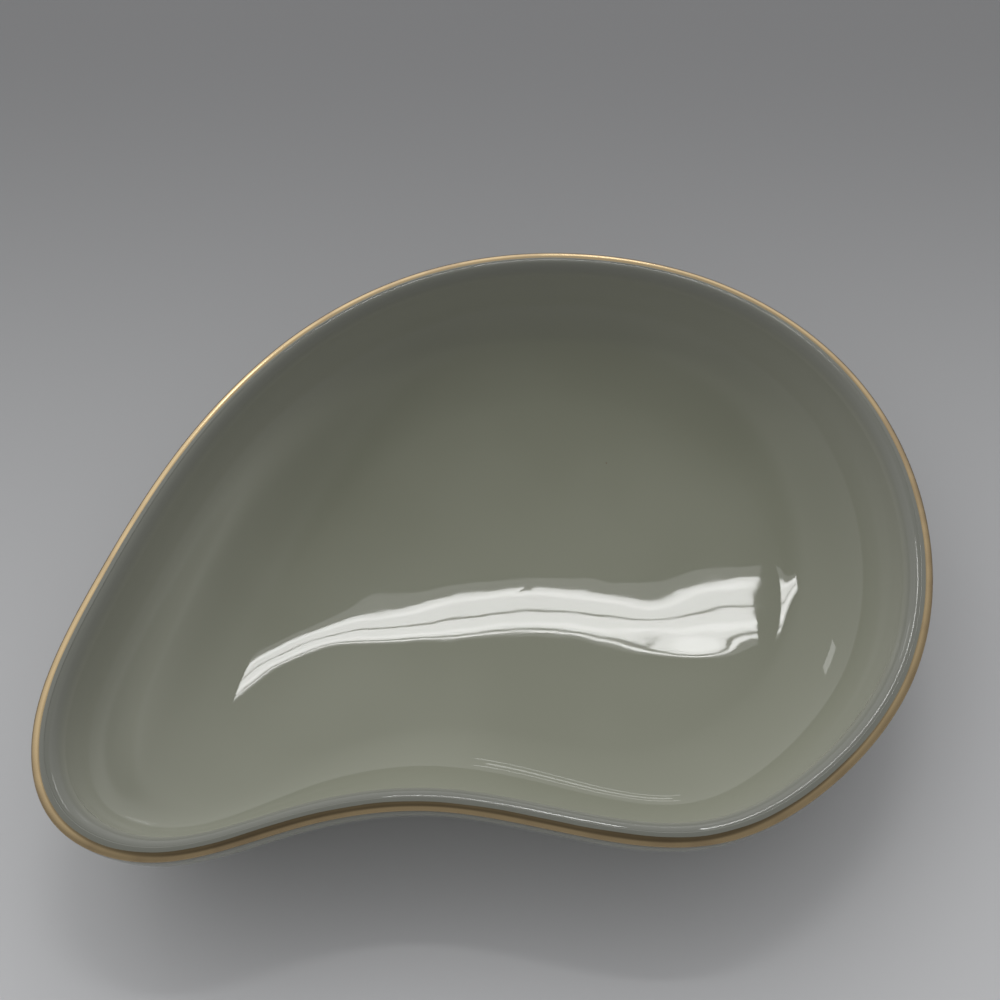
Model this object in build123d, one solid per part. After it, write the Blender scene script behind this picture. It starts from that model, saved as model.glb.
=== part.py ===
"""Ring dish: a teardrop bowl of glazed porcelain with a gilded rim, in millimetres.

The dish stands flat on its foot ring. X runs along its length, with the round lobe towards +X and the
tail towards -X, Y runs from front to back, and Z is up. The origin is the middle of its box, on the
ground. Every section through the dish parallel to the ground is the rim's outline drawn in towards one
hub, so each surface is a loft through such rings.
"""
from build123d import *
import os
from math import acos, cos, degrees, hypot, pi, radians, sin, sqrt

# Overall sizes
lobe_radius = 56.0
dish_height = 24.0

# Rim: its outside is rounded over to the crest, and its inside rolls over a deeper lip
crest_inset = 2.0
nose_rise = 0.75
lip_width = 2.0
lip_depth = 2.8

# Outside wall, a quarter of an ellipse that would reach the level of the recess
wall_run = 21.0

# Inside of the bowl, a quarter of an ellipse that runs into a gently dished floor
floor_inset = 21.5
floor_thickness = 4.0
floor_dip = 2.0

# Foot ring, with the bare edge that stands on the ground
foot_inset = 16.3
foot_width = 2.6
foot_round = 0.4
bare_height = 0.9
recess_height = 1.5

# Coats
glaze_thickness = 0.3
gold_thickness = 0.12
gold_drop_outside = 0.95
gold_width = 1.4

# The guide points of the rim's outline, from the lobe's right side and round by the back, as shares
# of the lobe's radius from the lobe's centre
outline_shares = [
    (1.04, 0.00),
    (0.91, 0.53),
    (0.52, 0.91),
    (0.00, 1.04),
    (-0.50, 0.97),
    (-0.93, 0.69),
    (-1.23, 0.26),
    (-1.40, -0.19),
    (-1.53, -0.60),
    (-1.43, -0.93),
    (-1.10, -1.03),
    (-0.77, -0.89),
    (-0.43, -0.84),
    (-0.10, -0.915),
    (0.24, -0.98),
    (0.54, -0.88),
    (0.92, -0.53),
]

# The hub that all rings close in on, and how far they go straight in from the rim before they turn
# to it, as shares of the lobe's radius
hub_shares = (-0.16, -0.05)
straight_reach_share = 0.24

# The innermost ring of the floor, as a share of the way from the rim to the hub
floor_cap_share = 0.9

# Points taken on each stretch of the outline and on each edge of a ring, and rings taken on each curve
# of a wall
points_a_stretch = 2
points_an_edge = len(outline_shares)
rings_a_curve = 7
rings_a_short_curve = 3

# Levels that follow from the sizes above
widest_height = dish_height - nose_rise
lip_height = dish_height - lip_depth
wall_drop = widest_height - recess_height
floor_height = recess_height + floor_thickness
bowl_drop = lip_height - floor_height
bowl_start = crest_inset + lip_width
foot_inside = foot_inset + foot_width


def outline_at(place):
    """Return the outline's point and inward normal at a place counted in stretches."""
    stretch = int(place)
    along = place - stretch
    count = len(outline_shares)
    guides = [outline_shares[(stretch + step) % count] for step in (-1, 0, 1, 2)]
    rest = 1 - along
    weights = (
        rest**3 / 6,
        (3 * along**3 - 6 * along**2 + 4) / 6,
        (3 * rest**3 - 6 * rest**2 + 4) / 6,
        along**3 / 6,
    )
    slopes = (
        -(rest**2) / 2,
        (3 * along**2 - 4 * along) / 2,
        (4 * rest - 3 * rest**2) / 2,
        along**2 / 2,
    )
    x, y = (sum(w * guide[axis] for w, guide in zip(weights, guides)) for axis in (0, 1))
    dx, dy = (sum(s * guide[axis] for s, guide in zip(slopes, guides)) for axis in (0, 1))
    speed = hypot(dx, dy)
    point = Vector(x * lobe_radius, y * lobe_radius)
    inward = Vector(-dy / speed, dx / speed)
    return point, inward


stations = [
    outline_at(number / points_a_stretch)
    for number in range(len(outline_shares) * points_a_stretch)
]
outline_box = Spline(*[point for point, _ in stations], periodic=True).bounding_box()
box_middle = Vector(outline_box.center().X, outline_box.center().Y)
hub = Vector(hub_shares[0] * lobe_radius, hub_shares[1] * lobe_radius)


def way_to_hub(inset):
    """Return the share of the way from the rim to the hub that a ring with this inset has gone."""
    reach = straight_reach_share * lobe_radius
    spare = lobe_radius - 2 * reach
    return (sqrt(reach**2 + spare * inset) - reach) / spare


def ring(inset, height):
    """Return the closed ring that lies inset from the rim's outline, at a height."""
    way = way_to_hub(inset)
    straight_in = 2 * way * (1 - way) * straight_reach_share * lobe_radius
    level = Vector(0, 0, height) - box_middle
    points = [
        point * (1 - way**2) + hub * way**2 + inward * straight_in + level
        for point, inward in stations
    ]
    edges = []
    for first in range(0, len(points), points_an_edge):
        last = first + points_an_edge
        run = [points[number % len(points)] for number in range(first, last + 1)]
        ends = [
            (points[(number + 1) % len(points)] - points[number - 1]) / 2
            for number in (first, last % len(points))
        ]
        parameters = [float(number) for number in range(len(run))]
        edges.append(Edge.make_spline(run, tangents=ends, parameters=parameters, scale=False))
    return Wire(edges)


def steps(start, end, count=rings_a_curve):
    """Return evenly spaced values from start to end."""
    return [start + (end - start) * number / (count - 1) for number in range(count)]


def nose_place(angle, coat):
    """Return inset and height on the rounded outside of the rim: 0 is its widest, 90 its crest."""
    turn = radians(angle)
    inset = crest_inset - (crest_inset + coat) * cos(turn)
    return inset, widest_height + (nose_rise + coat) * sin(turn)


def wall_place(turn, coat):
    """Return inset and height on the outside wall, where a turn of zero is the rim's widest."""
    inset = wall_run - (wall_run + coat) * cos(turn)
    return inset, widest_height - (wall_drop + coat) * sin(turn)


def lip_place(angle, coat):
    """Return inset and height on the rolled lip: 0 is the crest, 90 is where the bowl starts."""
    turn = radians(angle)
    return crest_inset + (lip_width + coat) * sin(turn), lip_height + (lip_depth + coat) * cos(turn)


def dip_at(inset):
    """Return how far the dished floor lies below its edge."""
    way = (inset - bowl_start) / (lobe_radius - bowl_start)
    return floor_dip * sin(way * pi / 2) ** 2


def bowl_place(angle, coat):
    """Return inset and height on the inside wall: 0 is the lip's end, 90 is the floor's edge."""
    turn = radians(angle)
    inset = floor_inset - (floor_inset - bowl_start - coat) * cos(turn)
    share = 1 - cos(turn)
    nominal = bowl_start + (floor_inset - bowl_start) * share
    return inset, lip_height - (bowl_drop - coat) * sin(turn) - dip_at(nominal)


def floor_place(inset, coat):
    """Return inset and height on the dished floor."""
    return inset, floor_height + coat - dip_at(inset)


gold_turn = (gold_drop_outside - nose_rise) / wall_drop
gold_angle = degrees(acos(1 - gold_width / crest_inset))


def foot_turn(coat):
    """Return the turn of the outside wall at which it meets the foot ring's outer face."""
    return acos((wall_run - foot_inset + coat) / (wall_run + coat))


def nose(coat):
    """Return the places from the rim's widest ring up to its crest."""
    return [nose_place(angle, coat) for angle in steps(0, 90)]


def gilded_wall(coat):
    """Return the places from the gold's lower edge up to the rim's widest ring."""
    return [wall_place(turn, coat) for turn in steps(gold_turn, 0, rings_a_short_curve)]


def gilded_nose(coat):
    """Return the places from the rim's widest ring up to the gold's upper edge, short of the crest."""
    return [nose_place(angle, coat) for angle in steps(0, gold_angle)]


def bare_nose(coat):
    """Return the places from the gold's upper edge to the crest."""
    return [nose_place(angle, coat) for angle in steps(gold_angle, 90, rings_a_short_curve)]


def wall(start, coat):
    """Return the places down the outside wall from a turn to the foot ring."""
    return [wall_place(turn, coat) for turn in steps(start, foot_turn(coat))]


def lip(coat):
    """Return the places on the rolled lip, from the crest to where the bowl starts."""
    return [lip_place(angle, coat) for angle in steps(0, 90)]


def bowl(coat):
    """Return the places down the inside wall and over the floor."""
    inside_wall = [bowl_place(angle, coat) for angle in steps(0, 90)]
    cap = lobe_radius * floor_cap_share
    floor = [floor_place(inset, coat) for inset in steps(floor_inset, cap)]
    return inside_wall + floor[1:]


def sheet(places):
    """Return the faces of a smooth loft through rings at these places."""
    return Shell.make_loft([ring(*place) for place in places]).faces()


def strip(*places):
    """Return the faces of straight bands from each place to the next."""
    faces = []
    for first, last in zip(places, places[1:]):
        faces += Shell.make_loft([ring(*first), ring(*last)], ruled=True).faces()
    return faces


def disc(place):
    """Return the flat face inside the ring at this place."""
    return [Face(ring(*place))]


def flat_band(outer, inner):
    """Return the flat face between two rings at the same height."""
    return [Face(ring(*outer), [ring(*inner)])]


def closed(*groups):
    """Return the solid that these groups of faces enclose."""
    return Solid(Shell([face for group in groups for face in group]))


def make_body():
    """Return the porcelain body with its foot ring."""
    coat = -glaze_thickness
    outside = wall(0, coat)
    inside = bowl(coat)
    foot_out = foot_inset + glaze_thickness
    return closed(
        sheet(nose(coat)),
        sheet(outside),
        strip(outside[-1], (foot_out, bare_height), (foot_out, foot_round)),
        strip((foot_out, foot_round), (foot_out + foot_round, 0)),
        flat_band((foot_out + foot_round, 0), (foot_inside - foot_round, 0)),
        strip((foot_inside - foot_round, 0), (foot_inside, foot_round)),
        strip((foot_inside, foot_round), (foot_inside, bare_height), (foot_inside, recess_height)),
        disc((foot_inside, recess_height)),
        sheet(lip(coat)),
        sheet(inside),
        disc(inside[-1]),
    )


def make_liner_glaze():
    """Return the glaze over the inside, from the crest to the floor."""
    coat = -glaze_thickness
    crest = lip_place(0, 0)
    crest_under = lip_place(0, coat)
    inside = bowl(0)
    under = bowl(coat)
    return closed(
        sheet(lip(0)),
        sheet(inside),
        disc(inside[-1]),
        strip(crest, crest_under),
        sheet(lip(coat)),
        sheet(under),
        disc(under[-1]),
    )


def make_outer_glaze():
    """Return the glaze over the outside, from the crest down the foot ring's outer face."""
    coat = -glaze_thickness
    bare = bare_nose(0)
    plain = wall(gold_turn, 0)
    nose_under = nose(coat)
    under = wall(0, coat)
    foot_out = foot_inset + glaze_thickness
    return closed(
        sheet(bare),
        sheet(gilded_nose(0)),
        sheet(gilded_wall(0)),
        sheet(plain),
        strip(plain[-1], (foot_inset, bare_height), (foot_out, bare_height), under[-1]),
        sheet(under),
        sheet(nose_under),
        strip(nose_under[-1], bare[-1]),
    )


def make_base_glaze():
    """Return the glaze inside the foot ring, over the recess and down the ring's inner face."""
    inside = foot_inside + glaze_thickness
    ceiling = recess_height - glaze_thickness
    return closed(
        disc((foot_inside, recess_height)),
        strip((foot_inside, recess_height), (foot_inside, bare_height), (inside, bare_height)),
        strip((inside, bare_height), (inside, ceiling)),
        disc((inside, ceiling)),
    )


def make_rim_gilding():
    """Return the band of gold round the outer half of the rim."""
    low_edge = gilded_wall(gold_thickness)
    low_edge_under = gilded_wall(0)
    face = gilded_nose(gold_thickness)
    under = gilded_nose(0)
    return closed(
        sheet(low_edge),
        sheet(face),
        strip(face[-1], under[-1]),
        sheet(under),
        sheet(low_edge_under),
        strip(low_edge_under[0], low_edge[0]),
    )


pieces = {
    "porcelain_body": make_body(),
    "liner_glaze": make_liner_glaze(),
    "outer_glaze": make_outer_glaze(),
    "base_glaze": make_base_glaze(),
    "rim_gilding": make_rim_gilding(),
}

os.makedirs("parts", exist_ok=True)
for name, piece in pieces.items():
    export_step(piece, f"parts/{name}.step")
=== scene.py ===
"""Ring dish: the finished model of a teardrop porcelain dish with a gilded rim, in metres.

The dish stands on its foot ring in the frame of the construction model: X runs along its length, with the
round lobe towards +X, Y runs from front to back, and Z is up. Every coat is a closed skin lofted through
rings of the rim's outline, at the same places as in the construction model.
"""

import logging
import math
from collections.abc import Sequence
from dataclasses import dataclass, field
from enum import Enum
from functools import cached_property

import bmesh
import bpy
import numpy as np
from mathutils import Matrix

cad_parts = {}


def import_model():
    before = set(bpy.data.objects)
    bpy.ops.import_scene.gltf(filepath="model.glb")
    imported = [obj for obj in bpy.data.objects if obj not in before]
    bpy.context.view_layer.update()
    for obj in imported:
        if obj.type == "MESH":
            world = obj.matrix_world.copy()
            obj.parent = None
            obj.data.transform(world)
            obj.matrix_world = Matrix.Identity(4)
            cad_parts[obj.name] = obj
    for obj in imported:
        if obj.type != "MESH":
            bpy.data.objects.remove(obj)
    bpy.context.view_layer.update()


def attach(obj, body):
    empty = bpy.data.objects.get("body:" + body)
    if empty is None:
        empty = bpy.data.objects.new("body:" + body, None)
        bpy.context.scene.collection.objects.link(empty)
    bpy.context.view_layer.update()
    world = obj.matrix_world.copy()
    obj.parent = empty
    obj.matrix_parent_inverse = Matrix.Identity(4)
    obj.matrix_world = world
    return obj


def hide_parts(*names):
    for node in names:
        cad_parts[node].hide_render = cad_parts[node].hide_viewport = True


log = logging.getLogger("ring_dish")

MM = 0.001
CORNER_RINGS = 7

Place = tuple[np.ndarray, np.ndarray]
Colour = tuple[float, float, float]


class Coat(Enum):
    """The surfaces of the dish, as millimetres that they stand out from the glaze's face."""

    BISQUE = -0.3
    UNDER_GOLD = -0.02
    GLAZE = 0.0
    GOLD = 0.02

    @property
    def metres(self) -> float:
        """Return how far this surface stands out from the glaze's face."""
        return self.value * MM


@dataclass(frozen=True)
class Dimple:
    """A soft dip in the floor, which bends the mirror image of the ceiling lamp."""

    depth: float
    middle: tuple[float, float]
    spread: tuple[float, float]

    def at(self, points: np.ndarray) -> np.ndarray:
        """Return the dip's depth at each point."""
        offsets = (points[:, :2] - self.middle) / self.spread
        return self.depth * np.exp(-(offsets**2).sum(axis=1) / 2)


@dataclass(frozen=True)
class UpturnedEnd:
    """An end of the floor that turns up ever more steeply, then runs out under the wall."""

    heading: float
    start: float
    steepening: float
    reach: float = 26 * MM
    run_out: float = 5 * MM

    def at(self, points: np.ndarray) -> np.ndarray:
        """Return how far the floor turns up at each point."""
        heading = math.radians(self.heading)
        along = points[:, 0] * math.cos(heading) + points[:, 1] * math.sin(heading)
        past = np.maximum(0, along - self.start)
        near = np.minimum(past, self.reach)
        beyond = np.minimum(past - near, self.run_out)
        end_slope = self.steepening * self.reach**2 / 2
        return self.steepening * near**3 / 6 + end_slope * (beyond - beyond**2 / (2 * self.run_out))


@dataclass(frozen=True)
class FloorHollow:
    """The shallow hollow of the floor, tighter across the dish than along it.

    Its values are the rounded output of a least-squares fit, the dips' and the ends' among them, which made
    the ceiling lamp's mirror image lie along the floor as a bright band. None is a measurement. Only the
    depth, the leaning, the ends' reach and run-out, and the place where the lobe's end starts were chosen.
    """

    depth: float = 2.3 * MM
    radius_across: float = 216.0 * MM
    radius_along: float = 760.0 * MM
    twist: float = -0.12
    tilt: tuple[float, float] = (-0.0008, -0.0049)
    flare_along: float = -1.4
    flare_across: float = 2.2
    fanning: float = -6.1
    leaning: float = -1.0
    dimples: tuple[Dimple, ...] = (
        Dimple(0.029 * MM, (28.0 * MM, -10.9 * MM), (4.2 * MM, 4.2 * MM)),
        Dimple(0.057 * MM, (29.4 * MM, -19.0 * MM), (7.5 * MM, 2.9 * MM)),
        Dimple(0.038 * MM, (21.0 * MM, -15.3 * MM), (7.6 * MM, 6.5 * MM)),
        Dimple(0.092 * MM, (-22.6 * MM, -16.7 * MM), (12.1 * MM, 6.2 * MM)),
    )
    tail_end: UpturnedEnd = UpturnedEnd(166, 19 * MM, 990)
    lobe_end: UpturnedEnd = UpturnedEnd(0, 38 * MM, 150)

    def at(self, points: np.ndarray) -> np.ndarray:
        """Return how far the floor lies below its edge at each point."""
        along, across = points[:, :2].T
        rise = across**2 / (2 * self.radius_across) + along**2 / (2 * self.radius_along)
        rise += self.twist * along * across + self.tilt[0] * along + self.tilt[1] * across
        rise += self.flare_along * along**3 + self.flare_across * across**3
        rise += self.fanning * along * across**2 + self.leaning * along**2 * across
        return self.depth - rise + sum(dimple.at(points) for dimple in self.dimples)

    def upturn(self, points: np.ndarray) -> np.ndarray:
        """Return how far the two ends turn up at each point."""
        return self.tail_end.at(points) + self.lobe_end.at(points)


@dataclass(frozen=True)
class Swell:
    """One slow ripple in the thickness of a coat."""

    height: float
    length: float
    heading: float
    start: float

    def at(self, points: np.ndarray) -> np.ndarray:
        """Return the ripple's height at each point."""
        heading = math.radians(self.heading)
        along = points[:, 0] * math.cos(heading) + points[:, 1] * math.sin(heading)
        return self.height * np.sin(2 * math.pi * along / self.length + self.start)


@dataclass(frozen=True)
class GlazeRipple:
    """The slow unevenness of the glaze outside, which bends its reflections."""

    swells: tuple[Swell, ...] = (
        Swell(0.0138 * MM, 34 * MM, 14, 0.9),
        Swell(0.0088 * MM, 21 * MM, -22, 2.1),
        Swell(0.0050 * MM, 13 * MM, 37, 4.4),
        Swell(0.0125 * MM, 36 * MM, 78, 1.2),
    )
    onset: float = 3.0

    def at(self, points: np.ndarray) -> np.ndarray:
        """Return the extra thickness at each point."""
        return sum(swell.at(points) for swell in self.swells)


@dataclass(frozen=True)
class Waver:
    """How an edge drawn by hand wanders round the rim, as waves with a size, a count and a start."""

    waves: tuple[tuple[float, int, float], ...]

    def at(self, turn: np.ndarray) -> np.ndarray:
        """Return the wander at each angle round the rim."""
        return sum(size * np.sin(count * turn + start) for size, count, start in self.waves)


class Fineness(Enum):
    """How many rings each curve of a surface gets: floor, inside wall, lip, nose, outside wall."""

    FACE = (44, 60, 64, 24, 60)
    HIDDEN = (12, 24, 10, 8, 24)


@dataclass(frozen=True)
class DishForm:
    """The sizes of the dish and the places on its walls, the same as in the construction model."""

    lobe_radius: float = 56.0 * MM
    dish_height: float = 24.0 * MM
    crest_inset: float = 2.0 * MM
    nose_rise: float = 0.75 * MM
    lip_width: float = 2.0 * MM
    lip_depth: float = 2.8 * MM
    groove_depth: float = 0.032 * MM
    groove_place: float = 0.21 * MM
    groove_spread: float = 0.22 * MM
    wall_run: float = 21.0 * MM
    floor_inset: float = 21.5 * MM
    floor_pull: float = 3.4 * MM
    pull_place: float = 0.985
    pull_spread: float = 0.07
    upturn_share: float = 0.42
    floor_thickness: float = 4.0 * MM
    foot_inset: float = 16.3 * MM
    foot_width: float = 2.6 * MM
    foot_round: float = 0.4 * MM
    bare_height: float = 0.9 * MM
    recess_height: float = 1.5 * MM
    gold_drop_outside: float = 0.95 * MM
    gold_width: float = 1.4 * MM
    outline_shares: tuple[tuple[float, float], ...] = (
        (1.04, 0.00),
        (0.91, 0.53),
        (0.52, 0.91),
        (0.00, 1.04),
        (-0.50, 0.97),
        (-0.93, 0.69),
        (-1.23, 0.26),
        (-1.40, -0.19),
        (-1.53, -0.60),
        (-1.43, -0.93),
        (-1.10, -1.03),
        (-0.77, -0.89),
        (-0.43, -0.84),
        (-0.10, -0.915),
        (0.24, -0.98),
        (0.54, -0.88),
        (0.92, -0.53),
    )
    hub_shares: tuple[float, float] = (-0.16, -0.05)
    straight_reach_share: float = 0.24
    columns_a_stretch: int = 24
    recess_steps: int = 12
    hollow: FloorHollow = FloorHollow()

    @property
    def widest_height(self) -> float:
        """Return the height of the rim's widest ring."""
        return self.dish_height - self.nose_rise

    @property
    def lip_height(self) -> float:
        """Return the height at which the rolled lip ends and the inside wall starts."""
        return self.dish_height - self.lip_depth

    @property
    def wall_drop(self) -> float:
        """Return the height that the outside wall's quarter ellipse spans."""
        return self.widest_height - self.recess_height

    @property
    def floor_height(self) -> float:
        """Return the height of the floor at its edge, before its dip."""
        return self.recess_height + self.floor_thickness

    @property
    def bowl_start(self) -> float:
        """Return the inset at which the inside wall starts."""
        return self.crest_inset + self.lip_width

    @property
    def foot_inside(self) -> float:
        """Return the inset of the foot ring's inner face."""
        return self.foot_inset + self.foot_width

    @property
    def gold_turn(self) -> float:
        """Return the turn of the outside wall at the gold's lower edge."""
        return (self.gold_drop_outside - self.nose_rise) / self.wall_drop

    @property
    def gold_angle(self) -> float:
        """Return the angle on the nose at the gold's upper edge, in degrees."""
        return math.degrees(math.acos(1 - self.gold_width / self.crest_inset))

    @cached_property
    def stations(self) -> tuple[np.ndarray, np.ndarray]:
        """Return the outline's points and inward normals, one of each for every column."""
        guides = np.array(self.outline_shares) * self.lobe_radius
        stretch, along = np.divmod(
            np.arange(len(guides) * self.columns_a_stretch), self.columns_a_stretch
        )
        along = (along / self.columns_a_stretch)[:, None]
        rest = 1 - along
        weights = (
            rest**3 / 6,
            (3 * along**3 - 6 * along**2 + 4) / 6,
            (3 * rest**3 - 6 * rest**2 + 4) / 6,
            along**3 / 6,
        )
        slopes = (
            -(rest**2) / 2,
            (3 * along**2 - 4 * along) / 2,
            (4 * rest - 3 * rest**2) / 2,
            along**2 / 2,
        )
        near = [guides[(stretch + step) % len(guides)] for step in (-1, 0, 1, 2)]
        points = sum(weight * guide for weight, guide in zip(weights, near))
        speeds = sum(slope * guide for slope, guide in zip(slopes, near))
        speeds /= np.linalg.norm(speeds, axis=1)[:, None]
        return points, np.stack([-speeds[:, 1], speeds[:, 0]], axis=1)

    @cached_property
    def box_middle(self) -> np.ndarray:
        """Return the middle of the outline's box from the lobe's centre."""
        points, _ = self.stations
        return (points.min(axis=0) + points.max(axis=0)) / 2

    @property
    def column_places(self) -> np.ndarray:
        """Return each column's share of the way round the rim."""
        count = len(self.stations[0])
        return np.arange(count) / count

    def ring(self, inset: np.ndarray | float, height: np.ndarray | float) -> np.ndarray:
        """Return the points of the ring that lies inset from the rim's outline.

        Args:
            inset: Distance in from the outline, one value or one for each column.
            height: Height above the ground, one value or one for each column.

        Returns:
            An array of one point for each column.
        """
        points, inward = self.stations
        reach = self.straight_reach_share * self.lobe_radius
        spare = self.lobe_radius - 2 * reach
        way = (np.sqrt(reach**2 + spare * np.asarray(inset, float)) - reach) / spare
        way = np.broadcast_to(way, len(points))[:, None]
        hub = np.array(self.hub_shares) * self.lobe_radius
        flat = points * (1 - way**2) + hub * way**2 + inward * 2 * way * (1 - way) * reach
        heights = np.broadcast_to(np.asarray(height, float), len(points))
        return np.column_stack([flat - self.box_middle, heights])

    def nose(self, angle: np.ndarray | float, coat: np.ndarray | float) -> Place:
        """Return inset and height on the rim's rounded outside: 0 is its widest, 90 its crest."""
        turn = np.radians(angle)
        inset = self.crest_inset - (self.crest_inset + coat) * np.cos(turn)
        return inset, self.widest_height + (self.nose_rise + coat) * np.sin(turn)

    def wall(self, turn: np.ndarray | float, coat: np.ndarray | float) -> Place:
        """Return inset and height on the outside wall, where a turn of zero is the widest."""
        inset = self.wall_run - (self.wall_run + coat) * np.cos(turn)
        return inset, self.widest_height - (self.wall_drop + coat) * np.sin(turn)

    def lip(self, angle: np.ndarray | float, coat: np.ndarray | float) -> Place:
        """Return inset and height on the rolled lip: 0 is the crest, 90 the start of the bowl."""
        turn = np.radians(angle)
        past_crest = (self.lip_width + coat) * np.sin(turn)
        aside = (past_crest - self.groove_place) / self.groove_spread
        groove = self.groove_depth * np.exp(-(aside**2) / 2)
        height = self.lip_height + (self.lip_depth + coat) * np.cos(turn) - groove
        return self.crest_inset + past_crest, height

    def foot_turn(self, coat: float) -> float:
        """Return the turn of the outside wall at which it meets the foot ring's outer face."""
        return math.acos((self.wall_run - self.foot_inset + coat) / (self.wall_run + coat))

    @cached_property
    def floor_edge(self) -> np.ndarray:
        """Return the inset of the floor's edge, which is drawn out towards the round lobe."""
        aside = (self.column_places - self.pull_place + 0.5) % 1 - 0.5
        return self.floor_inset - self.floor_pull * np.exp(-((aside / self.pull_spread) ** 2) / 2)

    def sunk(self, ring: np.ndarray, share: float) -> np.ndarray:
        """Return a ring of the bowl, let down into the floor's hollow.

        Args:
            ring: The ring's points before the hollow.
            share: How much of the hollow it gets, from 0 at the lip to 1 on the floor.

        Returns:
            The ring's points.
        """
        hollow_fade = share**2 * (3 - 2 * share)
        late = min(1.0, share / self.upturn_share)
        upturn_fade = late**2 * (3 - 2 * late)
        ring[:, 2] += self.hollow.upturn(ring) * upturn_fade - self.hollow.at(ring) * hollow_fade
        return ring

    def inside_rings(self, coat: float, fineness: Fineness) -> list:
        """Return the rings from the hub over the floor, up the inside wall and lip to the crest.

        Args:
            coat: How far the surface stands out from the glaze's face.
            fineness: How many rings to give.

        Returns:
            A list of arrays of points, from the hub outwards.
        """
        floor_count, wall_count, lip_count, _, _ = fineness.value
        run = self.floor_edge - self.bowl_start
        drop = self.lip_height - self.floor_height
        rings = []
        for inset in np.linspace(self.lobe_radius, self.floor_edge, floor_count + 1)[1:]:
            rings.append(self.sunk(self.ring(inset, self.floor_height + coat), 1.0))
        for turn in np.linspace(math.pi / 2, 0, wall_count + 1)[1:]:
            inset = self.floor_edge - (run - coat) * math.cos(turn)
            height = self.lip_height - (drop - coat) * math.sin(turn)
            rings.append(self.sunk(self.ring(inset, height), 1 - math.cos(turn)))
        for angle in np.linspace(90, 0, lip_count + 1)[1:]:
            rings.append(self.ring(*self.lip(angle, coat)))
        return rings

    def recess_rings(self) -> list:
        """Return the flat rings over the recess, from the floor's edge to just short of the hub."""
        insets = np.linspace(self.floor_inset, self.lobe_radius, self.recess_steps)[:-1]
        return [self.ring(inset, self.recess_height) for inset in insets]

    def outside_rings(self, coat: float, fineness: Fineness, ripple: GlazeRipple | None = None) -> list:
        """Return the rings from the crest over the nose and down the outside wall to the foot.

        Args:
            coat: How far the surface stands out from the glaze's face.
            fineness: How many rings to give.
            ripple: The unevenness of the glaze, or None for an even coat.

        Returns:
            A list of arrays of points, from the crest down.
        """
        *_, nose_count, wall_count = fineness.value
        rings = [self.ring(*self.nose(angle, coat)) for angle in np.linspace(90, 0, nose_count + 1)]
        foot = self.foot_turn(coat)
        for turn in np.linspace(0, foot, wall_count + 1)[1:]:
            ring = self.ring(*self.wall(turn, coat))
            if ripple is not None:
                below_gold = min(1.0, turn / foot * ripple.onset)
                ring = self.ring(*self.wall(turn, coat + ripple.at(ring) * below_gold))
            rings.append(ring)
        return rings


def corner_rings(form: DishForm, corners: Sequence[tuple[float, float]], radius: float) -> list:
    """Return rings along a path of straight runs whose inner corners are rounded.

    Args:
        form: The dish that the rings lie on.
        corners: Inset and height of each corner, with the path's two ends.
        radius: How far from a corner its rounding starts.

    Returns:
        A list of arrays of points.
    """
    places = [np.array(corners[0])]
    for before, corner, after in zip(corners, corners[1:], corners[2:]):
        before, corner, after = (np.array(place) for place in (before, corner, after))
        to_before = (before - corner) / np.linalg.norm(before - corner)
        to_after = (after - corner) / np.linalg.norm(after - corner)
        for share in np.linspace(0, 1, CORNER_RINGS):
            start = corner + to_before * radius * (1 - share)
            end = corner + to_after * radius * share
            places.append(start * (1 - share) + end * share)
    places.append(np.array(corners[-1]))
    return [form.ring(inset, height) for inset, height in places]


def skin(name: str, rings: Sequence[np.ndarray], hub_ends: bool) -> bpy.types.Object:
    """Make a closed smooth skin through rings.

    Args:
        name: The piece's name.
        rings: Rings of equal count, in order along the profile.
        hub_ends: True closes both ends at their middles, False joins the last ring to the first.

    Returns:
        The new object, linked to the scene.
    """
    count = len(rings[0])
    points = np.concatenate(rings)
    around = np.arange(count)
    beside = (around + 1) % count
    starts = range(len(rings) - 1 if hub_ends else len(rings))
    faces = []
    for number in starts:
        low = number * count
        high = (number + 1) % len(rings) * count
        quads = np.stack([low + around, low + beside, high + beside, high + around], axis=1)
        faces += quads.tolist()
    if hub_ends:
        middles = [rings[0].mean(axis=0), rings[-1].mean(axis=0)]
        points = np.concatenate([points, middles])
        first_middle = len(points) - 2
        last = (len(rings) - 1) * count
        pairs = list(zip(around.tolist(), beside.tolist()))
        faces += [[first_middle, b, a] for a, b in pairs]
        faces += [[first_middle + 1, last + a, last + b] for a, b in pairs]
    mesh = bpy.data.meshes.new(name)
    mesh.from_pydata(points.tolist(), [], faces)
    work = bmesh.new()
    work.from_mesh(mesh)
    bmesh.ops.recalc_face_normals(work, faces=work.faces)
    work.to_mesh(mesh)
    work.free()
    mesh.shade_smooth()
    piece = bpy.data.objects.new(name, mesh)
    bpy.context.scene.collection.objects.link(piece)
    return piece


@dataclass(frozen=True)
class Grain:
    """A noise, by its cells to the metre and its octaves, and its height in metres where it is a bump."""

    scale: float
    detail: float
    height: float = 0.0


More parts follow.
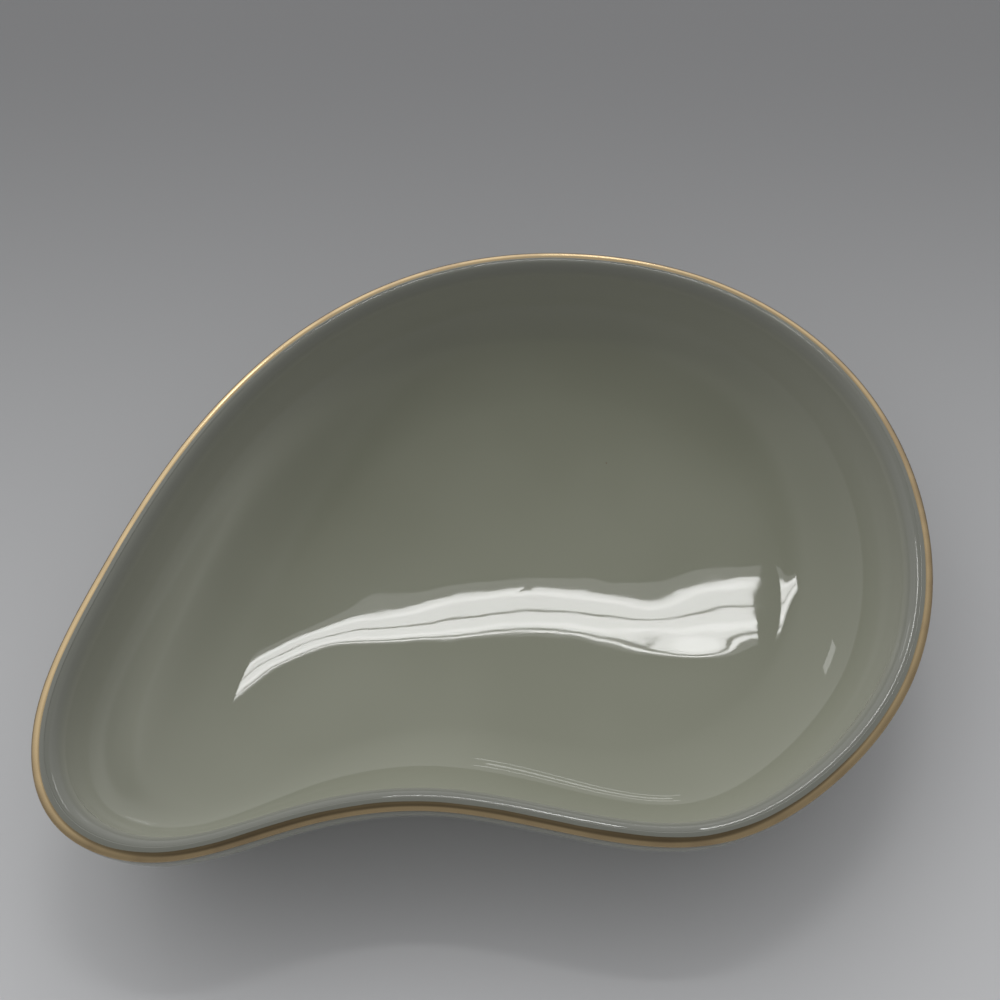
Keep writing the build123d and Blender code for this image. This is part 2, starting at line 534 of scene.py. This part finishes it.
class Bench:
    """A material's node tree, with short calls to add nodes and join them."""

    def __init__(self, name: str) -> None:
        """Start a material that holds a Principled shader and its output.

        Args:
            name: The material's name.
        """
        self.material = bpy.data.materials.new(name)
        self.material.use_nodes = True
        self.tree = self.material.node_tree
        self.shader = self.tree.nodes["Principled BSDF"]

    def add(self, kind: str, links: dict | None = None, **values: object) -> bpy.types.Node:
        """Add a node.

        Args:
            kind: The node's type, without its ShaderNode start.
            links: Input name or number to the output socket that feeds it.
            values: Attributes of the node, or inputs by name with spaces as underscores.

        Returns:
            The new node.
        """
        node = self.tree.nodes.new("ShaderNode" + kind)
        for key, value in values.items():
            if hasattr(node, key):
                setattr(node, key, value)
            else:
                node.inputs[key.replace("_", " ")].default_value = value
        for key, socket in (links or {}).items():
            self.tree.links.new(socket, node.inputs[key])
        return node

    def feed(self, name: str, socket: bpy.types.NodeSocket) -> None:
        """Join a socket to one of the shader's inputs."""
        self.tree.links.new(socket, self.shader.inputs[name])

    def place(self) -> bpy.types.NodeSocket:
        """Return each point's place in the piece's own coordinates."""
        return self.add("TexCoord").outputs["Object"]

    def height(self) -> bpy.types.NodeSocket:
        """Return each point's height above the ground."""
        return self.add("SeparateXYZ", {"Vector": self.place()}).outputs["Z"]

    def noise(self, grain: Grain) -> bpy.types.NodeSocket:
        """Return a noise on the piece's own coordinates."""
        node = self.add("TexNoise", {"Vector": self.place()}, Scale=grain.scale, Detail=grain.detail)
        return node.outputs["Fac"]

    def product(self, one: bpy.types.NodeSocket, other: bpy.types.NodeSocket) -> bpy.types.NodeSocket:
        """Return the product of two values."""
        return self.add("Math", {0: one, 1: other}, operation="MULTIPLY").outputs[0]

    def blend(self, share: bpy.types.NodeSocket, low: Colour, high: Colour) -> bpy.types.NodeSocket:
        """Blend two colours by a share from another node."""
        mix = self.add("Mix", data_type="RGBA")
        self.tree.links.new(share, mix.inputs["Factor"])
        mix.inputs["A"].default_value = (*low, 1)
        mix.inputs["B"].default_value = (*high, 1)
        return mix.outputs["Result"]

    def cover(
        self, share: bpy.types.NodeSocket, under: bpy.types.NodeSocket, colour: Colour
    ) -> bpy.types.NodeSocket:
        """Lay a plain colour over a node's colour, by a share from another node."""
        mix = self.add("Mix", {"Factor": share}, data_type="RGBA")
        self.tree.links.new(under, mix.inputs["A"])
        mix.inputs["B"].default_value = (*colour, 1)
        return mix.outputs["Result"]

    def spread(
        self, source: bpy.types.NodeSocket, start: float, end: float, low: float = 0, high: float = 1
    ) -> bpy.types.NodeSocket:
        """Map a value from the range start to end to the range low to high."""
        node = self.add("MapRange", {"Value": source}, interpolation_type="SMOOTHSTEP")
        node.inputs["From Min"].default_value = start
        node.inputs["From Max"].default_value = end
        node.inputs["To Min"].default_value = low
        node.inputs["To Max"].default_value = high
        return node.outputs["Result"]

    def bump(self, grains: Sequence[Grain]) -> None:
        """Stack bumps on the shader's normal.

        Args:
            grains: The noises that the bumps follow, coarse ones first.
        """
        links = {}
        for grain in grains:
            links["Height"] = self.noise(grain)
            node = self.add("Bump", links, Strength=1.0, Distance=grain.height)
            links["Normal"] = node.outputs["Normal"]
        self.feed("Normal", links["Normal"])


@dataclass(frozen=True)
class GlazeFinish:
    """Glossy ivory glaze that pools a little greener, with painted fill light making it paler up the walls.

    Its crest is painted greyer, as a painted dark reflection. Its colours are darker than a daylight
    ivory's, because the dim light of the scene is painted into them.
    """

    name: str
    ivory: Colour = (0.219, 0.225, 0.173)
    pooled: Colour = (0.203, 0.209, 0.158)
    thin_gold_and_painted_wall_light: Colour = (0.315, 0.317, 0.270)
    crest: Colour = (0.165, 0.168, 0.145)
    speck: Colour = (0.16, 0.13, 0.085)
    wall_start: float = 5.0 * MM
    crest_start: float = 21.0 * MM
    roughness: float = 0.008
    roughness_rise: float = 0.014
    ior: float = 1.52
    sheen: float = 0.2
    clouds: Grain = Grain(26, 2.0)
    cloud_range: tuple[float, float] = (0.35, 0.68)
    rub: Grain = Grain(220, 4.0)
    rub_range: tuple[float, float] = (0.3, 0.75)
    bumps: tuple[Grain, ...] = (Grain(85, 1.0, 0.016 * MM), Grain(420, 1.0, 0.0006 * MM))
    speck_scale: float = 150.0
    speck_edge: tuple[float, float] = (0.035, 0.02)
    speck_rarity: tuple[float, float] = (0.955, 0.965)

    def make(self, form: DishForm) -> bpy.types.Material:
        """Make the material.

        Args:
            form: The dish whose rim the glaze breaks over.

        Returns:
            The new material.
        """
        bench = Bench(self.name)
        cloud = bench.spread(bench.noise(self.clouds), *self.cloud_range)
        colour = bench.blend(cloud, self.ivory, self.pooled)
        height = bench.height()
        # Painted fill light: the glaze is blended paler with height up the walls, in place of light bounced
        # inside the bowl.
        edge = bench.spread(height, self.wall_start, form.dish_height)
        with_painted_wall_light = bench.cover(edge, colour, self.thin_gold_and_painted_wall_light)
        # Painted reflection: the crest is blended to a darker grey, in place of the dark room overhead that
        # it reflects.
        top = bench.spread(height, self.crest_start, form.dish_height)
        with_painted_crest_reflection = bench.cover(top, with_painted_wall_light, self.crest)
        bench.feed("Base Color", bench.cover(self.specks(bench), with_painted_crest_reflection, self.speck))
        rub = bench.spread(
            bench.noise(self.rub), *self.rub_range, self.roughness, self.roughness + self.roughness_rise
        )
        bench.feed("Roughness", rub)
        bench.shader.inputs["IOR"].default_value = self.ior
        bench.shader.inputs["Specular IOR Level"].default_value = self.sheen
        bench.bump(self.bumps)
        return bench.material

    def specks(self, bench: Bench) -> bpy.types.NodeSocket:
        """Return where the glaze has one of its rare small iron specks."""
        cells = bench.add("TexVoronoi", {"Vector": bench.place()}, Scale=self.speck_scale, Randomness=1.0)
        dot = bench.spread(cells.outputs["Distance"], *self.speck_edge)
        choice = bench.add("SeparateColor", {"Color": cells.outputs["Color"]})
        rare = bench.spread(choice.outputs["Red"], *self.speck_rarity)
        return bench.product(dot, rare)


@dataclass(frozen=True)
class BisqueFinish:
    """Bare fired porcelain, fine and matt, with the grey of shelf wear on its edge."""

    name: str = "bare_bisque"
    clay: Colour = (0.62, 0.59, 0.52)
    sandy: Colour = (0.50, 0.46, 0.38)
    worn: Colour = (0.30, 0.29, 0.27)
    worn_height: float = 0.22 * MM
    grain: Grain = Grain(900, 5.0)
    sandy_range: tuple[float, float] = (0.35, 0.7)
    patches: Grain = Grain(130, 3.0)
    patch_range: tuple[float, float] = (0.42, 0.62)
    rough_range: tuple[float, float] = (0.2, 0.8)
    roughness: tuple[float, float] = (0.72, 0.92)
    bumps: tuple[Grain, ...] = (Grain(1500, 3.0, 0.02 * MM),)

    def make(self) -> bpy.types.Material:
        """Make the material."""
        bench = Bench(self.name)
        grain = bench.noise(self.grain)
        colour = bench.blend(bench.spread(grain, *self.sandy_range), self.clay, self.sandy)
        low = bench.spread(bench.height(), self.worn_height, 0.0)
        patches = bench.spread(bench.noise(self.patches), *self.patch_range)
        bench.feed("Base Color", bench.cover(bench.product(low, patches), colour, self.worn))
        bench.feed("Roughness", bench.spread(grain, *self.rough_range, *self.roughness))
        bench.bump(self.bumps)
        return bench.material


@dataclass(frozen=True)
class GoldFinish:
    """Fired gold, brushed on by hand: bright where thick, browner where it lies thinner, with a painted
    dark reflection along its upper edge.
    """

    name: str = "fired_gold"
    bright: Colour = (0.385, 0.29, 0.165)
    thin_gold_and_painted_wall_light: Colour = (0.31, 0.23, 0.135)
    painted_dark_reflection: Colour = (0.17, 0.13, 0.075)
    dark_reflection_start: float = 23.89 * MM
    dark_reflection_end: float = 23.98 * MM
    brushing: Grain = Grain(160, 4.0)
    pooling: Grain = Grain(34, 2.0)
    thin_range: tuple[float, float] = (0.2, 0.42)
    rough_range: tuple[float, float] = (0.25, 0.75)
    roughness: tuple[float, float] = (0.12, 0.20)
    bumps: tuple[Grain, ...] = (Grain(150, 1.0, 0.010 * MM), Grain(1400, 3.0, 0.001 * MM))

    def make(self) -> bpy.types.Material:
        """Make the material."""
        bench = Bench(self.name)
        brushed = bench.noise(self.brushing)
        thinness = bench.product(brushed, bench.noise(self.pooling))
        gold = bench.blend(bench.spread(thinness, *self.thin_range), self.bright, self.thin_gold_and_painted_wall_light)
        # Painted reflection: the band's upper edge is coloured dark, in place of the dark room overhead
        # that it reflects.
        edge = bench.spread(bench.height(), self.dark_reflection_start, self.dark_reflection_end)
        bench.feed("Base Color", bench.cover(edge, gold, self.painted_dark_reflection))
        bench.feed("Roughness", bench.spread(brushed, *self.rough_range, *self.roughness))
        bench.shader.inputs["Metallic"].default_value = 1.0
        bench.bump(self.bumps)
        return bench.material


class GlazePatch(Enum):
    """The three patches of glaze, with the node that each replaces and its material slot."""

    INSIDE = ("liner_glaze", "inside_glaze")
    OUTSIDE = ("outer_glaze", "outside_glaze")
    BASE = ("base_glaze", "base_glaze")

    @property
    def node(self) -> str:
        """Return the construction model's node."""
        return self.value[0]

    @property
    def slot(self) -> str:
        """Return the record's material slot."""
        return self.value[1]


def settle(piece: bpy.types.Object, material: bpy.types.Material, node: str) -> None:
    """Give a piece its material and say what it replaces and rides on.

    Args:
        piece: The finished piece.
        material: Its material.
        node: The node of the construction model that it stands for.
    """
    piece.data.materials.append(material)
    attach(piece, "root")
    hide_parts(node)
    log.info("%s: %d faces, in place of %s", piece.name, len(piece.data.polygons), node)


@dataclass
class PorcelainBody:
    """The fired body, from the floor over the rim to the foot ring."""

    form: DishForm
    finish: BisqueFinish = field(default_factory=BisqueFinish)

    def build(self) -> bpy.types.Object:
        """Make the body and its finish."""
        form = self.form
        coat = Coat.BISQUE.metres
        foot_out = form.foot_inset - coat
        rings = form.inside_rings(coat, Fineness.HIDDEN)
        rings += form.outside_rings(coat, Fineness.HIDDEN)[1:]
        _, meeting = form.wall(form.foot_turn(coat), coat)
        path = [
            (foot_out, meeting),
            (foot_out, 0),
            (form.foot_inside, 0),
            (form.foot_inside, form.recess_height),
            (form.lobe_radius, form.recess_height),
        ]
        rings += corner_rings(form, path, form.foot_round)[1:-1]
        rings += form.recess_rings()
        piece = skin("porcelain_body_fired", rings, hub_ends=True)
        settle(piece, self.finish.make(), "porcelain_body")
        return piece


@dataclass
class GlazeCoats:
    """The glaze inside, outside and under the base."""

    form: DishForm
    ripple: GlazeRipple = field(default_factory=GlazeRipple)
    fillet: float = 0.8 * MM
    shoulder_start: float = 0.965
    clear_share: float = 0.4
    rounding_share: float = 0.5
    bead_steps: int = 5
    bead_lift: float = 0.12 * MM
    bead_back: float = 0.5 * MM
    waver_height: float = 0.09 * MM
    waver: Waver = Waver(((1, 5, 0.7), (1, 11, 2.2), (0.6, 23, 0)))
    base_steps: int = 40
    base_rounding: float = 0.14 * MM

    def build(self) -> list[bpy.types.Object]:
        """Make the three patches and their finishes."""
        makers = {
            GlazePatch.INSIDE: self.inside,
            GlazePatch.OUTSIDE: self.outside,
            GlazePatch.BASE: self.base,
        }
        pieces = []
        for patch, maker in makers.items():
            piece = maker()
            finish = GlazeFinish(name="ivory_" + patch.slot)
            settle(piece, finish.make(self.form), patch.node)
            pieces.append(piece)
        return pieces

    def inside(self) -> bpy.types.Object:
        """Make the coat that was poured inside, from the hub to the crest and back underneath."""
        face = self.form.inside_rings(Coat.GLAZE.metres, Fineness.FACE)
        under = self.form.inside_rings(Coat.BISQUE.metres, Fineness.HIDDEN)
        return skin("liner_glaze_coat", face + under[::-1], hub_ends=True)

    def outside(self) -> bpy.types.Object:
        """Make the coat outside, which ends in a rounded, slightly wavy edge above the ground."""
        form = self.form
        thickness = -Coat.BISQUE.metres
        face = form.outside_rings(Coat.GLAZE.metres, Fineness.FACE, self.ripple)
        under = form.outside_rings(Coat.BISQUE.metres, Fineness.HIDDEN)
        corner = form.wall(form.foot_turn(0), 0)
        edge = form.bare_height
        waver = self.waver_height * self.waver.at(2 * math.pi * form.column_places)
        bead = [
            (form.foot_inset + thickness * (1 - math.cos(angle)), edge + thickness * (1 - math.sin(angle)))
            for angle in np.linspace(0, math.pi / 2, self.bead_steps)
        ]
        keep = [ring for ring in face if ring[:, 2].min() > corner[1] + self.fillet * self.clear_share]
        shoulder = corner_rings(
            form,
            [
                form.wall(form.foot_turn(0) * self.shoulder_start, 0),
                corner,
                (form.foot_inset, edge + thickness),
            ],
            self.fillet * self.rounding_share,
        )
        foot = [form.ring(inset, height + waver + self.bead_lift) for inset, height in bead]
        foot_under = [form.ring(form.foot_inset + thickness, edge + self.bead_back)]
        rings = keep + shoulder[1:-1] + foot + foot_under + under[::-1]
        return skin("outer_glaze_coat", rings, hub_ends=False)

    def base(self) -> bpy.types.Object:
        """Make the coat in the recess inside the foot ring."""
        form = self.form
        coat = Coat.BISQUE.metres
        ceiling = form.recess_height + coat
        edge = form.bare_height
        insets = np.linspace(form.lobe_radius, form.floor_inset, self.base_steps)[1:]
        face = [form.ring(inset, ceiling) for inset in insets]
        face += corner_rings(
            form,
            [
                (form.floor_inset, ceiling),
                (form.foot_inside - coat, ceiling),
                (form.foot_inside - coat, edge),
                (form.foot_inside, edge),
            ],
            self.base_rounding,
        )[1:]
        under = [form.ring(form.foot_inside, form.recess_height)]
        under += form.recess_rings()
        return skin("base_glaze_coat", face + under, hub_ends=True)


@dataclass
class RimGilding:
    """The gold that was brushed over the rim, with hand-drawn edges."""

    form: DishForm
    finish: GoldFinish = field(default_factory=GoldFinish)
    edge_waver: float = 0.07
    low_reach: float = 4.0
    high_reach: float = 0.25
    low_waver: Waver = Waver(((1, 7, 0.3), (0.6, 17, 1.9), (0.4, 41, 0)))
    high_waver: Waver = Waver(((1, 6, 2.6), (0.6, 19, 0.8), (0.4, 37, 0)))
    back_sweep: float = 13.0
    wall_steps: int = 9
    nose_steps: int = 33
    taper_rings: float = 4.0
    edge_sink: float = 0.5

    def build(self) -> bpy.types.Object:
        """Make the band and its finish."""
        form = self.form
        turn = 2 * math.pi * form.column_places
        low = self.low_reach * self.edge_waver * self.low_waver.at(turn)
        high = self.high_reach * self.edge_waver * self.high_waver.at(turn)
        behind = np.clip(form.ring(0, 0)[:, 1] / form.lobe_radius, 0, 1)
        start = form.gold_turn * (1 + low)
        end = form.gold_angle * (1 + high) + self.back_sweep * behind
        spots = [(form.wall, start * share) for share in np.linspace(1, 0, self.wall_steps)[:-1]]
        spots += [(form.nose, end * share) for share in np.linspace(0, 1, self.nose_steps)]
        count = len(spots)
        face = []
        for number, (curve, spot) in enumerate(spots):
            from_edge = min(number, count - 1 - number)
            full = min(1.0, from_edge / self.taper_rings - self.edge_sink)
            face.append(form.ring(*curve(spot, Coat.GOLD.metres * full)))
        under = [form.ring(*curve(spot, Coat.UNDER_GOLD.metres)) for curve, spot in spots]
        piece = skin("rim_gilding_band", face + under[::-1], hub_ends=False)
        settle(piece, self.finish.make(), "rim_gilding")
        return piece


def panel(name: str, width: float, height: float, radiance: float) -> bpy.types.Object:
    """Make a flat rectangular lamp that faces straight down.

    Args:
        name: The lamp's name.
        width: Its size from side to side.
        height: Its size across that.
        radiance: How bright its face is.

    Returns:
        The lamp's object, linked to the scene.
    """
    lamp = bpy.data.lights.new(name, "AREA")
    lamp.shape = "RECTANGLE"
    lamp.size = width
    lamp.size_y = height
    lamp.energy = radiance * math.pi * width * height
    holder = bpy.data.objects.new(name, lamp)
    bpy.context.scene.collection.objects.link(holder)
    return holder


@dataclass(frozen=True)
class Tube:
    """One lit bar of the ceiling lamp, which adds its light to that of the bars that it overlaps."""

    name: str
    near: float
    width: float
    radiance: float


@dataclass(frozen=True)
class CeilingLamp:
    """A long lamp overhead, whose reflection lies as a bright band along the floor of the dish."""

    height: float = 0.930
    left: float = -0.140
    right: float = 0.165
    tube_drop: float = 0.1 * MM
    tubes: tuple[Tube, ...] = (
        Tube("lamp_glow", 0.4820, 0.0500, 3.0),
        Tube("lamp_front_tube", 0.4905, 0.0165, 25.0),
        Tube("lamp_front_core", 0.4935, 0.0030, 6.5),
        Tube("lamp_back_tube", 0.5085, 0.0155, 26.5),
        Tube("lamp_back_core", 0.5180, 0.0030, 5.5),
        Tube("lamp_edge_tube", 0.5260, 0.0022, 29.0),
    )

    def build(self) -> None:
        """Make the tubes, all facing straight down."""
        length = self.right - self.left
        middle = (self.left + self.right) / 2
        for level, tube in enumerate(self.tubes):
            holder = panel(tube.name, length, tube.width, tube.radiance)
            holder.location = (middle, tube.near + tube.width / 2, self.height - level * self.tube_drop)


@dataclass(frozen=True)
class Window:
    """A low bright panel behind the dish, which lights the gold and draws fine glints on the lip."""

    name: str
    bearing: float
    elevation: float
    width: float
    height: float
    radiance: float
    distance: float = 1.2

    def build(self) -> None:
        """Make the panel, facing the dish."""
        holder = panel(self.name, self.width, self.height, self.radiance)
        bearing = math.radians(self.bearing)
        elevation = math.radians(self.elevation)
        away = self.distance * math.cos(elevation)
        holder.location = (
            away * math.sin(bearing),
            away * math.cos(bearing),
            self.distance * math.sin(elevation),
        )
        holder.rotation_euler = (math.pi / 2 - elevation, 0, math.pi - bearing)


@dataclass
class Studio:
    """A pale floor painted lighter in front and darker far off, soft light from overhead and behind,
    and the photograph's camera.
    """

    floor_tint: Colour = (0.985, 0.985, 1.0)
    floor_side: float = 3.0
    floor_painted_light_near: float = 0.62
    floor_painted_shade_far: float = 0.21
    floor_blend: tuple[float, float] = (-0.13, 0.16)
    floor_roughness: float = 0.9
    floor_sheen: float = 0.2
    sky_tint: Colour = (0.985, 0.992, 1.0)
    sky_axis: tuple[float, float, float] = (-0.20, 0.77, 0.60)
    sky_peak: float = 1.60
    sky_base: float = 0.46
    overhead_dim: float = 0.25
    overhead_range: tuple[float, float] = (0.80, 0.94)
    sky_power: float = 2.0
    camera_place: tuple[float, float, float] = (-0.1 * MM, -95.4 * MM, 195.5 * MM)
    camera_down: float = 60.3
    focal_pixels: float = 1200.0
    image_pixels: float = 1000.0
    sensor: float = 36.0
    lamp: CeilingLamp = field(default_factory=CeilingLamp)
    windows: tuple[Window, ...] = (
        Window("back_window_low", 8, 15.5, 0.22, 0.018, 6.0),
        Window("back_window_middle", 9, 19, 0.20, 0.030, 7.0),
        Window("back_window_high", 7, 22.5, 0.18, 0.016, 6.0),
        Window("left_window", -34, 27, 0.15, 0.11, 6.0),
    )

    def build(self) -> None:
        """Set up the floor, the light, the camera and the view settings."""
        self.make_floor()
        self.make_sky()
        self.lamp.build()
        for window in self.windows:
            window.build()
        self.make_camera()
        bpy.context.scene.view_settings.view_transform = "Standard"
        log.info("studio: %d lit tubes", len(self.lamp.tubes))

    def make_floor(self) -> None:
        """Make the floor that the dish stands on, painted lighter in front to lift the dish's shadow and
        darker far off.
        """
        half = self.floor_side / 2
        mesh = bpy.data.meshes.new("floor")
        corners = [(-half, -half, 0), (half, -half, 0), (half, half, 0), (-half, half, 0)]
        mesh.from_pydata(corners, [], [(0, 1, 2, 3)])
        floor = bpy.data.objects.new("floor", mesh)
        bpy.context.scene.collection.objects.link(floor)
        bench = Bench("floor_paper")
        across = bench.add("SeparateXYZ", {"Vector": bench.place()}).outputs["Y"]
        # Painted light and shade: the floor's colour runs from light in front, lifting the dish's shadow,
        # to dark far off.
        near = [part * self.floor_painted_light_near for part in self.floor_tint]
        far = [part * self.floor_painted_shade_far for part in self.floor_tint]
        bench.feed("Base Color", bench.blend(bench.spread(across, *self.floor_blend), near, far))
        bench.shader.inputs["Roughness"].default_value = self.floor_roughness
        bench.shader.inputs["Specular IOR Level"].default_value = self.floor_sheen
        mesh.materials.append(bench.material)

    def make_sky(self) -> None:
        """Make a soft sky that is brightest high on the far side and dims straight overhead."""
        world = bpy.data.worlds.new("soft_sky")
        bpy.context.scene.world = world
        world.use_nodes = True
        tree = world.node_tree
        background = tree.nodes["Background"]
        background.inputs["Color"].default_value = (*self.sky_tint, 1)
        axis = np.array(self.sky_axis) / np.linalg.norm(self.sky_axis)
        towards = tree.nodes.new("ShaderNodeVectorMath")
        towards.operation = "DOT_PRODUCT"
        towards.inputs[1].default_value = axis.tolist()
        outward = tree.nodes.new("ShaderNodeTexCoord").outputs["Generated"]
        tree.links.new(outward, towards.inputs[0])
        value = towards.outputs["Value"]
        steps = (
            ("MAXIMUM", 0.0),
            ("POWER", self.sky_power),
            ("MULTIPLY", self.sky_peak),
            ("ADD", self.sky_base),
        )
        for operation, amount in steps:
            step = tree.nodes.new("ShaderNodeMath")
            step.operation = operation
            tree.links.new(value, step.inputs[0])
            step.inputs[1].default_value = amount
            value = step.outputs[0]
        height = tree.nodes.new("ShaderNodeSeparateXYZ")
        tree.links.new(outward, height.inputs[0])
        overhead = tree.nodes.new("ShaderNodeMapRange")
        overhead.interpolation_type = "SMOOTHSTEP"
        overhead.inputs["From Min"].default_value = self.overhead_range[0]
        overhead.inputs["From Max"].default_value = self.overhead_range[1]
        overhead.inputs["To Min"].default_value = 1.0
        overhead.inputs["To Max"].default_value = self.overhead_dim
        tree.links.new(height.outputs["Z"], overhead.inputs["Value"])
        dimmed = tree.nodes.new("ShaderNodeMath")
        dimmed.operation = "MULTIPLY"
        tree.links.new(value, dimmed.inputs[0])
        tree.links.new(overhead.outputs["Result"], dimmed.inputs[1])
        tree.links.new(dimmed.outputs[0], background.inputs["Strength"])

    def make_camera(self) -> None:
        """Make the camera at the photograph's angle."""
        camera = bpy.data.cameras.new("camera")
        camera.sensor_width = self.sensor
        camera.lens = self.focal_pixels * self.sensor / self.image_pixels
        camera.clip_start = 1 * MM
        holder = bpy.data.objects.new("camera", camera)
        holder.location = self.camera_place
        holder.rotation_euler = (math.radians(90 - self.camera_down), 0, 0)
        bpy.context.scene.collection.objects.link(holder)
        bpy.context.scene.camera = holder


def main() -> None:
    """Build the dish around the construction model, then light it and aim the camera."""
    logging.basicConfig(level=logging.INFO, format="%(name)s: %(message)s")
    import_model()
    form = DishForm()
    PorcelainBody(form).build()
    GlazeCoats(form).build()
    RimGilding(form).build()
    Studio().build()


if __name__ == "__main__":
    main()
